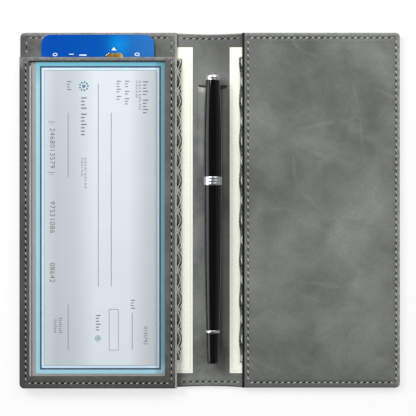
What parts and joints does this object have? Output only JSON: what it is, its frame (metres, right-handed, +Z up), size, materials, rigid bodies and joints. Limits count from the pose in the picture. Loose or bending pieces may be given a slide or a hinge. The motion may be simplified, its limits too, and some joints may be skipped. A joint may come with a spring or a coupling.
{
  "type": "checkbook cover",
  "caption": "Folding grey leather checkbook cover, lying open, with a pen slit in the spine, a card slot, a clear window pocket and a long pocket on each side.",
  "frame": {"origin": "middle of the underside of the cover lying open and flat, on the surface it rests on", "axes": "+X to the right cover, +Y to the top edge where the card slot and the window pocket open, +Z up out of the inside"},
  "size_m": [0.1818, 0.17, 0.0118],
  "materials": {
    "cover_leather": "grey nubuck-like leather, matt, with cloudy tone",
    "lining_leather": "the same grey leather, split thinner, matt",
    "panel_leather": "the same grey leather, matt, with painted cut edges",
    "interlining": "bonded fibre sheet",
    "pocket_cloth": "plain light grey pocket cloth",
    "clear_film": "clear soft plastic film, glossy",
    "thread": "grey polyester thread",
    "note_paper": "cream cotton paper, printed",
    "card_plastic": "blue laminated card, satin gloss",
    "contact_gold": "gold-plated contacts",
    "check_paper": "pale blue-grey paper with a printed border",
    "pen_black": "glossy black",
    "pen_chrome": "polished chrome plate",
    "pen_grip": "black moulded plastic",
    "refill_plastic": "white tube"
  },
  "bodies": {
    "spine": {"outer_shell_spine": "cover_leather", "interlining_spine": "interlining", "lining_spine": "lining_leather", "pen_bridge": "lining_leather", "stitching_spine": "thread"},
    "left_cover": {"outer_shell_left": "cover_leather", "interlining_left": "interlining", "lining_left": "lining_leather", "left_panel_hem": "panel_leather", "left_pocket_panel": "panel_leather", "card_slot_seam": "pocket_cloth", "pocket_divider": "pocket_cloth", "window_panel_hem": "panel_leather", "window_film": "clear_film", "window_panel": "panel_leather", "stitching_left": "thread", "stitching_window": "thread", "left_banknote": "note_paper"},
    "right_cover": {"outer_shell_right": "cover_leather", "interlining_right": "interlining", "lining_right": "lining_leather", "right_panel_hem": "panel_leather", "right_pocket_panel": "panel_leather", "stitching_right": "thread", "right_banknote": "note_paper"},
    "card": {"bank_card": "card_plastic", "card_chip": "contact_gold"},
    "check": {"check_slip": "check_paper"},
    "cap": {"pen_cap": "pen_black", "cap_finial": "pen_chrome", "pen_clip": "pen_chrome", "cap_band": "pen_chrome"},
    "barrel": {"pen_barrel": "pen_black", "barrel_ring": "pen_chrome", "barrel_tail": "pen_black", "grip_section": "pen_grip", "writing_tip": "pen_chrome", "ink_refill": "refill_plastic"}
  },
  "joints": [
    {"name": "left_fold", "type": "hinge", "parent": "spine", "child": "left_cover", "pos_m": [-0.0078, 0, 0.0019], "axis": [0, 1, 0], "range_deg": [0, 93]},
    {"name": "right_fold", "type": "hinge", "parent": "spine", "child": "right_cover", "pos_m": [0.0089, 0, 0.0019], "axis": [0, -1, 0], "range_deg": [0, 93]},
    {"name": "pen_pull", "type": "slide", "parent": "spine", "child": "cap", "axis": [0, 1, 0], "range_m": [0, 0.037]},
    {"name": "cap_pull", "type": "slide", "parent": "cap", "child": "barrel", "axis": [0, -1, 0], "range_m": [0, 0.032]},
    {"name": "card_pull", "type": "slide", "parent": "left_cover", "child": "card", "axis": [0, 1, 0], "range_m": [0, 0.076]},
    {"name": "check_pull", "type": "slide", "parent": "left_cover", "child": "check", "axis": [0, 1, 0], "range_m": [0, 0.152]}
  ]
}
